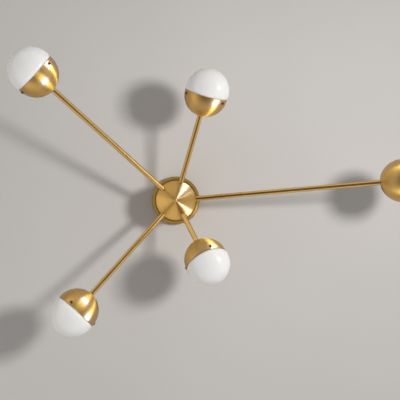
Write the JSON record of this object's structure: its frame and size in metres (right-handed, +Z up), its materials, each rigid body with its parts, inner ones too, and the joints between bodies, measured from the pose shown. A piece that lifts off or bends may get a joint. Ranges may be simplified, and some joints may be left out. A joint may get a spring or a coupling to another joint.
{
  "type": "sputnik ceiling light",
  "caption": "Ceiling light: brass arms of different lengths slope down from a spun conical hub, each ending in a half-round cup that screws clamp to an opal glass globe.",
  "frame": {"origin": "centre of the crossbar's two box slots, on the ceiling plane", "axes": "+Z up into the ceiling; seen from below, +X points right along the longest arm and +Y towards the foot of the view"},
  "size_m": [0.947, 0.6394, 0.304],
  "materials": {
    "brushed_brass": "spun and brushed, clear lacquer",
    "turned_brass": "turned",
    "zinc_steel": "zinc plated",
    "ground_green": "green dye",
    "terminal_plastic": "moulded",
    "ceramic": "glazed ceramic, white",
    "opal_glass": "blown opal, satin gloss, not see-through",
    "lamp_diffuser": "frosted"
  },
  "bodies": {
    "fixture": {"mounting_bracket": "zinc_steel", "ground_screw": "ground_green", "terminal_block": "terminal_plastic", "canopy_side_screws": "brushed_brass", "canopy_pan": "brushed_brass", "centre_nipple": "zinc_steel", "nipple_nut_upper": "zinc_steel", "nipple_nut_lower": "zinc_steel", "hub_block": "turned_brass", "hub_cone": "brushed_brass", "finial": "brushed_brass", "arm_tube_1": "brushed_brass", "cup_1": "brushed_brass", "cup_nut_1": "zinc_steel", "lamp_holder_1": "ceramic", "arm_tube_2": "brushed_brass", "cup_2": "brushed_brass", "cup_nut_2": "zinc_steel", "lamp_holder_2": "ceramic", "arm_tube_3": "brushed_brass", "cup_3": "brushed_brass", "cup_nut_3": "zinc_steel", "lamp_holder_3": "ceramic", "arm_tube_4": "brushed_brass", "cup_4": "brushed_brass", "cup_nut_4": "zinc_steel", "lamp_holder_4": "ceramic", "arm_tube_5": "brushed_brass", "cup_5": "brushed_brass", "cup_nut_5": "zinc_steel", "lamp_holder_5": "ceramic"},
    "lamp_1": {"lamp_1": "lamp_diffuser"},
    "globe_1": {"globe_1": "opal_glass"},
    "cup_screw_1a": {"cup_screw_1a": "brushed_brass"},
    "cup_screw_1b": {"cup_screw_1b": "brushed_brass"},
    "cup_screw_1c": {"cup_screw_1c": "brushed_brass"},
    "lamp_2": {"lamp_2": "lamp_diffuser"},
    "globe_2": {"globe_2": "opal_glass"},
    "cup_screw_2a": {"cup_screw_2a": "brushed_brass"},
    "cup_screw_2b": {"cup_screw_2b": "brushed_brass"},
    "cup_screw_2c": {"cup_screw_2c": "brushed_brass"},
    "lamp_3": {"lamp_3": "lamp_diffuser"},
    "globe_3": {"globe_3": "opal_glass"},
    "cup_screw_3a": {"cup_screw_3a": "brushed_brass"},
    "cup_screw_3b": {"cup_screw_3b": "brushed_brass"},
    "cup_screw_3c": {"cup_screw_3c": "brushed_brass"},
    "lamp_4": {"lamp_4": "lamp_diffuser"},
    "globe_4": {"globe_4": "opal_glass"},
    "cup_screw_4a": {"cup_screw_4a": "brushed_brass"},
    "cup_screw_4b": {"cup_screw_4b": "brushed_brass"},
    "cup_screw_4c": {"cup_screw_4c": "brushed_brass"},
    "lamp_5": {"lamp_5": "lamp_diffuser"},
    "globe_5": {"globe_5": "opal_glass"},
    "cup_screw_5a": {"cup_screw_5a": "brushed_brass"},
    "cup_screw_5b": {"cup_screw_5b": "brushed_brass"},
    "cup_screw_5c": {"cup_screw_5c": "brushed_brass"}
  },
  "joints": [
    {"name": "globe_1_lift_off", "type": "slide", "parent": "fixture", "child": "globe_1", "axis": [0.3871, 0.7597, -0.5225], "range_m": [0, 0.06]},
    {"name": "lamp_1_pull_out", "type": "slide", "parent": "fixture", "child": "lamp_1", "axis": [0.3871, 0.7597, -0.5225], "range_m": [0, 0.012]},
    {"name": "cup_screw_1a_back_off", "type": "slide", "parent": "fixture", "child": "cup_screw_1a", "axis": [0.1931, -0.6209, -0.7597], "range_m": [0, 0.003]},
    {"name": "cup_screw_1b_back_off", "type": "slide", "parent": "fixture", "child": "cup_screw_1b", "axis": [0.6842, 0.1432, 0.7151], "range_m": [0, 0.003]},
    {"name": "cup_screw_1c_back_off", "type": "slide", "parent": "fixture", "child": "cup_screw_1c", "axis": [-0.8774, 0.4777, 0.0446], "range_m": [0, 0.003]},
    {"name": "globe_2_lift_off", "type": "slide", "parent": "fixture", "child": "globe_2", "axis": [0.2614, -0.9116, -0.3173], "range_m": [0, 0.06]},
    {"name": "lamp_2_pull_out", "type": "slide", "parent": "fixture", "child": "lamp_2", "axis": [0.2614, -0.9116, -0.3173], "range_m": [0, 0.012]},
    {"name": "cup_screw_2a_back_off", "type": "slide", "parent": "fixture", "child": "cup_screw_2a", "axis": [0.7586, 0.3973, -0.5165], "range_m": [0, 0.003]},
    {"name": "cup_screw_2b_back_off", "type": "slide", "parent": "fixture", "child": "cup_screw_2b", "axis": [-0.8962, -0.1071, -0.4305], "range_m": [0, 0.003]},
    {"name": "cup_screw_2c_back_off", "type": "slide", "parent": "fixture", "child": "cup_screw_2c", "axis": [0.1377, -0.2902, 0.947], "range_m": [0, 0.003]},
    {"name": "globe_3_lift_off", "type": "slide", "parent": "fixture", "child": "globe_3", "axis": [-0.6364, 0.7068, -0.309], "range_m": [0, 0.06]},
    {"name": "lamp_3_pull_out", "type": "slide", "parent": "fixture", "child": "lamp_3", "axis": [-0.6364, 0.7068, -0.309], "range_m": [0, 0.012]},
    {"name": "cup_screw_3a_back_off", "type": "slide", "parent": "fixture", "child": "cup_screw_3a", "axis": [-0.1267, -0.4909, -0.8619], "range_m": [0, 0.003]},
    {"name": "cup_screw_3b_back_off", "type": "slide", "parent": "fixture", "child": "cup_screw_3b", "axis": [0.7223, 0.6866, 0.0829], "range_m": [0, 0.003]},
    {"name": "cup_screw_3c_back_off", "type": "slide", "parent": "fixture", "child": "cup_screw_3c", "axis": [-0.5956, -0.1957, 0.7791], "range_m": [0, 0.003]},
    {"name": "globe_4_lift_off", "type": "slide", "parent": "fixture", "child": "globe_4", "axis": [-0.6866, -0.6182, -0.3827], "range_m": [0, 0.06]},
    {"name": "lamp_4_pull_out", "type": "slide", "parent": "fixture", "child": "lamp_4", "axis": [-0.6866, -0.6182, -0.3827], "range_m": [0, 0.012]},
    {"name": "cup_screw_4a_back_off", "type": "slide", "parent": "fixture", "child": "cup_screw_4a", "axis": [0.6742, -0.3444, -0.6533], "range_m": [0, 0.003]},
    {"name": "cup_screw_4b_back_off", "type": "slide", "parent": "fixture", "child": "cup_screw_4b", "axis": [-0.5727, 0.7841, -0.2391], "range_m": [0, 0.003]},
    {"name": "cup_screw_4c_back_off", "type": "slide", "parent": "fixture", "child": "cup_screw_4c", "axis": [-0.1015, -0.4397, 0.8924], "range_m": [0, 0.003]},
    {"name": "globe_5_lift_off", "type": "slide", "parent": "fixture", "child": "globe_5", "axis": [0.9811, -0.0858, -0.1737], "range_m": [0, 0.06]},
    {"name": "lamp_5_pull_out", "type": "slide", "parent": "fixture", "child": "lamp_5", "axis": [0.9811, -0.0858, -0.1737], "range_m": [0, 0.012]},
    {"name": "cup_screw_5a_back_off", "type": "slide", "parent": "fixture", "child": "cup_screw_5a", "axis": [-0.011, 0.8703, -0.4924], "range_m": [0, 0.003]},
    {"name": "cup_screw_5b_back_off", "type": "slide", "parent": "fixture", "child": "cup_screw_5b", "axis": [-0.162, -0.8552, -0.4924], "range_m": [0, 0.003]},
    {"name": "cup_screw_5c_back_off", "type": "slide", "parent": "fixture", "child": "cup_screw_5c", "axis": [0.173, -0.0151, 0.9848], "range_m": [0, 0.003]}
  ]
}
